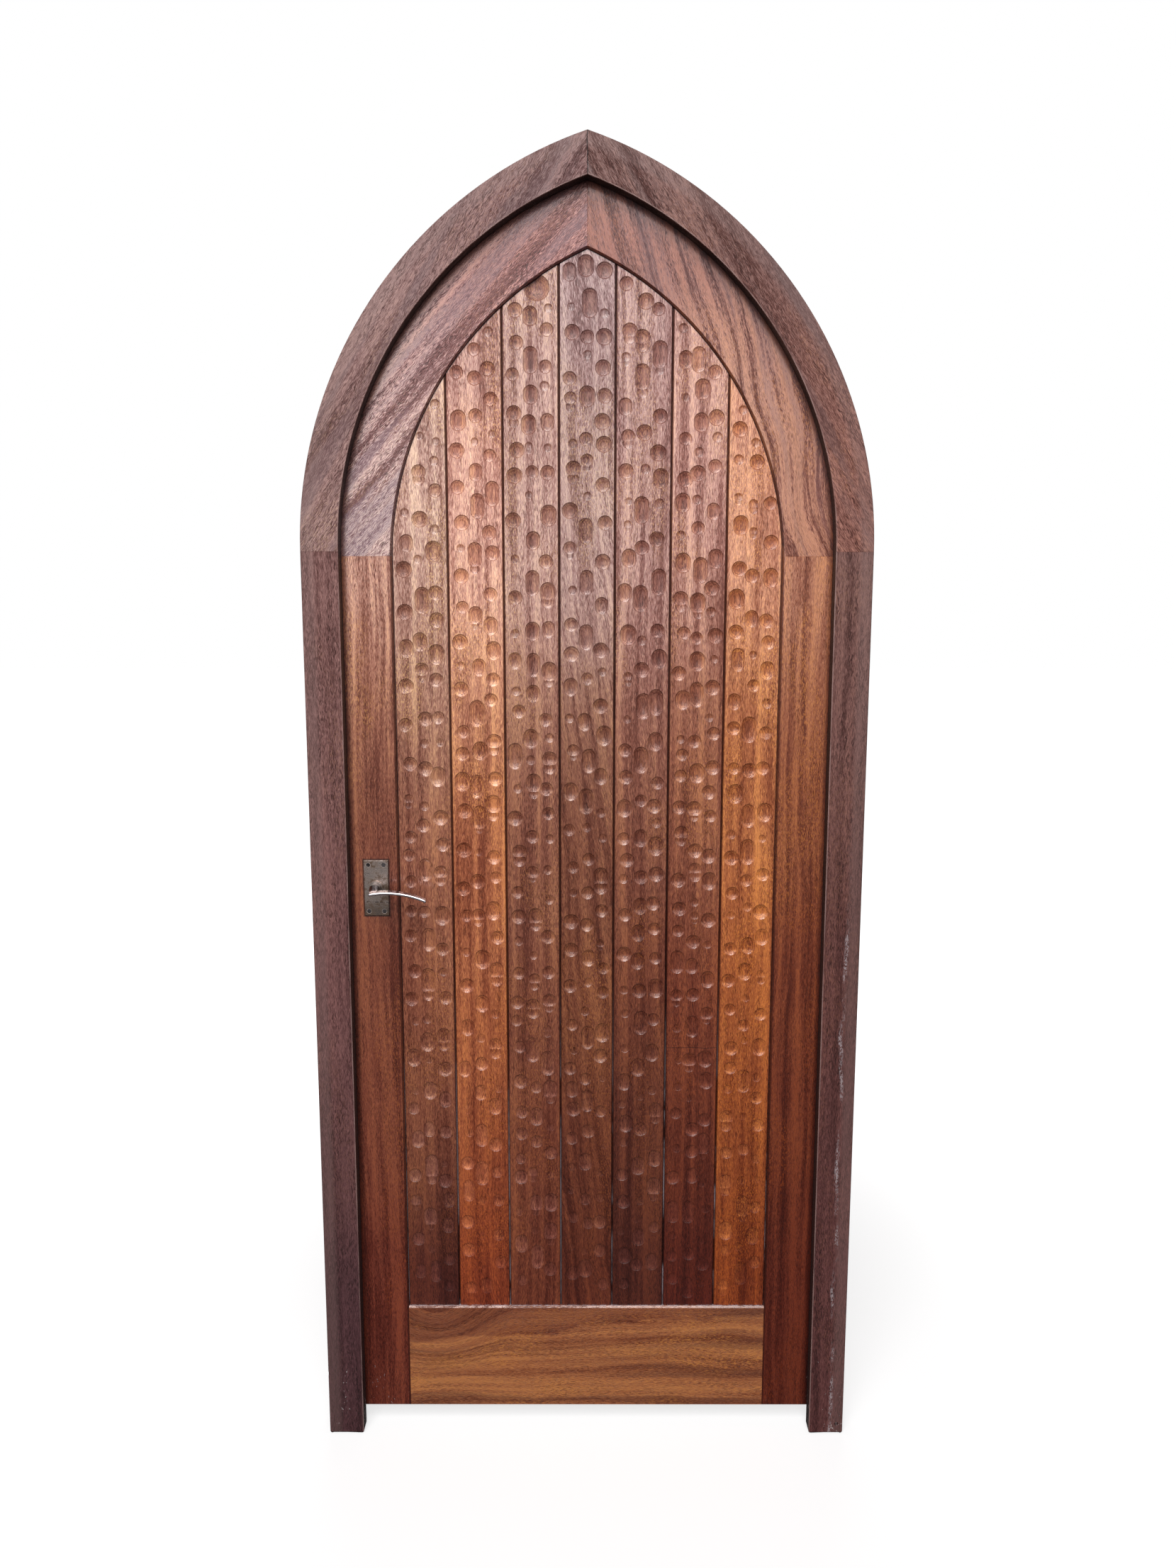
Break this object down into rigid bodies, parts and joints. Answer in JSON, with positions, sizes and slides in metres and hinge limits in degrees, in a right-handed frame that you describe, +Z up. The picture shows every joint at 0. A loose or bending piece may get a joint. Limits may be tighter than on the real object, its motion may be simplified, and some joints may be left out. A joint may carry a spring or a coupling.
{
  "type": "wooden door with frame",
  "caption": "Pointed-arch hardwood door hung in its own rebated frame, with dimpled upright boards, a framed leaf and a lever latch on a backplate.",
  "frame": {"origin": "on the floor, under the middle of the door's width and of the leaf's thickness", "axes": "+X to the right as seen from outside, +Y inwards, the way the leaf opens, +Z up"},
  "size_m": [1.032, 0.154, 2.4549],
  "materials": {
    "frame_wood": "worn matt varnish",
    "leaf_wood": "satin varnish",
    "board_wood": "satin varnish, hand-gouged dimples",
    "tenon_wood": "bare",
    "backplate_metal": "aged pewter",
    "lever_chrome": "polished",
    "hinge_steel": "satin",
    "latch_steel": "satin",
    "screw_steel": "satin"
  },
  "bodies": {
    "frame": {"frame_head_hinge": "frame_wood", "frame_head_latch": "frame_wood", "frame_post_hinge": "frame_wood", "frame_post_latch": "frame_wood", "frame_tenon_crown": "tenon_wood", "frame_tenon_hinge": "tenon_wood", "frame_tenon_latch": "tenon_wood", "hinge_bottom_frame_flap": "hinge_steel", "hinge_bottom_pin": "hinge_steel", "hinge_frame_screws": "screw_steel", "hinge_middle_frame_flap": "hinge_steel", "hinge_middle_pin": "hinge_steel", "hinge_top_frame_flap": "hinge_steel", "hinge_top_pin": "hinge_steel", "strike_plate": "latch_steel", "strike_screws": "screw_steel"},
    "door_leaf": {"board_1": "board_wood", "board_2": "board_wood", "board_3": "board_wood", "board_4": "board_wood", "board_5": "board_wood", "board_6": "board_wood", "board_7": "board_wood", "bottom_rail": "leaf_wood", "forend_screws": "screw_steel", "hinge_bottom_leaf_flap": "hinge_steel", "hinge_leaf_screws": "screw_steel", "hinge_middle_leaf_flap": "hinge_steel", "hinge_top_leaf_flap": "hinge_steel", "inside_backplate": "backplate_metal", "inside_plate_screws": "screw_steel", "latch_case": "latch_steel", "latch_forend": "latch_steel", "leaf_head_hinge": "leaf_wood", "leaf_head_latch": "leaf_wood", "leaf_stile_hinge": "leaf_wood", "leaf_stile_latch": "leaf_wood", "leaf_tenon_crown": "tenon_wood", "leaf_tenon_hinge": "tenon_wood", "leaf_tenon_latch": "tenon_wood", "outside_backplate": "backplate_metal", "outside_plate_screws": "screw_steel"},
    "lever_set": {"inside_lever": "lever_chrome", "latch_follower": "latch_steel", "outside_lever": "lever_chrome", "spindle": "latch_steel"},
    "latch_bolt": {"latch_bolt": "latch_steel"}
  },
  "joints": [
    {"name": "door_swing", "type": "hinge", "parent": "frame", "child": "door_leaf", "pos_m": [0.4585, 0.0285, 0.925], "axis": [0, 0, -1], "range_deg": [0, 175]},
    {"name": "lever_turn", "type": "hinge", "parent": "door_leaf", "child": "lever_set", "pos_m": [-0.4, 0, 1.119], "axis": [0, 1, 0], "range_deg": [0, 40], "stiffness_Nm_per_rad": 0.8, "springref_deg": -28.65},
    {"name": "latch_slide", "type": "slide", "parent": "door_leaf", "child": "latch_bolt", "axis": [1, 0, 0], "range_m": [0, 0.012]}
  ],
  "couplings": [
    {"joint": "latch_slide", "follows": "lever_turn", "m_per_rad": 0.017}
  ]
}
